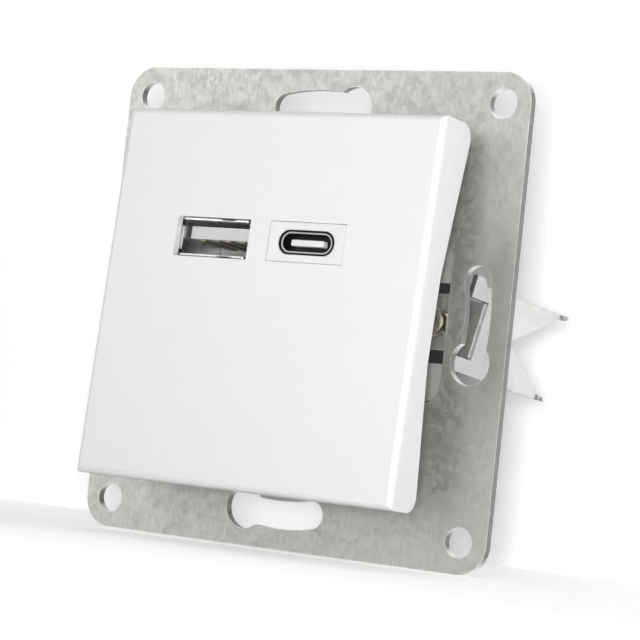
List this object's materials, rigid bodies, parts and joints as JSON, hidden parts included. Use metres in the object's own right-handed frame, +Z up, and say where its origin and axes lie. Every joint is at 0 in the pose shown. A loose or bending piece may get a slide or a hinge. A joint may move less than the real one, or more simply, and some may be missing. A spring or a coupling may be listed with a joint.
{
  "type": "usb wall socket",
  "caption": "Flush-mounted USB wall socket: white square centre plate with USB-A and USB-C ports, on a steel mounting plate with spreading claws and a deep rear casing.",
  "frame": {"origin": "centre of the mounting plate's rear face, the face that lies on the wall", "axes": "+Z up, +Y into the wall, +X to the right seen from the front, so the ports face -Y"},
  "size_m": [0.071, 0.0418, 0.071],
  "materials": {
    "plate_steel": "galvanised, fine matt grain",
    "white_plastic": "satin white",
    "port_steel": "bright plated",
    "port_plastic": "moulded white",
    "contact_gold": "gold-coloured plating",
    "grey_plastic": "moulded grey",
    "casing_plastic": "moulded light grey",
    "board": "green solder mask",
    "screw_steel": "zinc plated",
    "terminal_brass": "plain brass",
    "ferrite": "dark sintered",
    "bobbin_plastic": "moulded black",
    "winding_copper": "enamelled copper",
    "capacitor_sleeve": "black sleeve",
    "resistor_coat": "green coating",
    "chip_plastic": "moulded black",
    "pin_tin": "tinned",
    "claw_steel": "zinc plated",
    "claw_screw_brass": "nickel over brass"
  },
  "bodies": {
    "socket": {"mounting_plate": "plate_steel", "cover_plate": "white_plastic", "usb_c_adapter": "white_plastic", "usb_a_shell": "port_steel", "usb_a_tongue": "port_plastic", "usb_a_contacts": "contact_gold", "usb_c_shell": "port_steel", "usb_c_tongue": "white_plastic", "usb_c_contacts": "contact_gold", "port_board": "board", "front_housing": "grey_plastic", "rear_casing": "casing_plastic", "housing_screws": "screw_steel", "terminal_block": "casing_plastic", "terminal_clamp_left": "terminal_brass", "terminal_clamp_right": "terminal_brass", "power_board": "board", "transformer_core": "ferrite", "transformer_bobbin": "bobbin_plastic", "transformer_winding": "winding_copper", "input_capacitors": "capacitor_sleeve", "output_capacitor": "capacitor_sleeve", "filter_coil": "ferrite", "fuse_resistor": "resistor_coat", "rectifier": "chip_plastic", "controller": "chip_plastic", "link_pins": "pin_tin", "link_header": "bobbin_plastic"},
    "claw_right": {"claw_right": "claw_steel", "claw_nut_right": "claw_steel"},
    "claw_screw_right": {"claw_screw_right": "claw_screw_brass"},
    "claw_left": {"claw_left": "claw_steel", "claw_nut_left": "claw_steel"},
    "claw_screw_left": {"claw_screw_left": "claw_screw_brass"},
    "terminal_screw_right": {"terminal_screw_right": "screw_steel"},
    "terminal_screw_left": {"terminal_screw_left": "screw_steel"}
  },
  "joints": [
    {"name": "claw_right_spread", "type": "hinge", "parent": "socket", "child": "claw_right", "pos_m": [0.0227, -0.00236, -0.0004], "axis": [0, 0, -1], "range_deg": [0, 10]},
    {"name": "claw_screw_right_turn", "type": "hinge", "parent": "claw_right", "child": "claw_screw_right", "pos_m": [0.0227, -0.00236, -0.0004], "axis": [0, 1, 0], "range_deg": [0, 1080]},
    {"name": "claw_left_spread", "type": "hinge", "parent": "socket", "child": "claw_left", "pos_m": [-0.0227, -0.00236, -0.0004], "axis": [0, 0, 1], "range_deg": [0, 10]},
    {"name": "claw_screw_left_turn", "type": "hinge", "parent": "claw_left", "child": "claw_screw_left", "pos_m": [-0.0227, -0.00236, -0.0004], "axis": [0, 1, 0], "range_deg": [0, 1080]},
    {"name": "terminal_screw_right_turn", "type": "hinge", "parent": "socket", "child": "terminal_screw_right", "pos_m": [0.0052, 0.019, -0.0188], "axis": [0, 0, 1], "continuous": true},
    {"name": "terminal_screw_left_turn", "type": "hinge", "parent": "socket", "child": "terminal_screw_left", "pos_m": [-0.0052, 0.019, -0.0188], "axis": [0, 0, 1], "continuous": true}
  ],
  "couplings": [
    {"joint": "claw_screw_right_turn", "follows": "claw_right_spread", "ratio": 108},
    {"joint": "claw_screw_left_turn", "follows": "claw_left_spread", "ratio": 108}
  ]
}
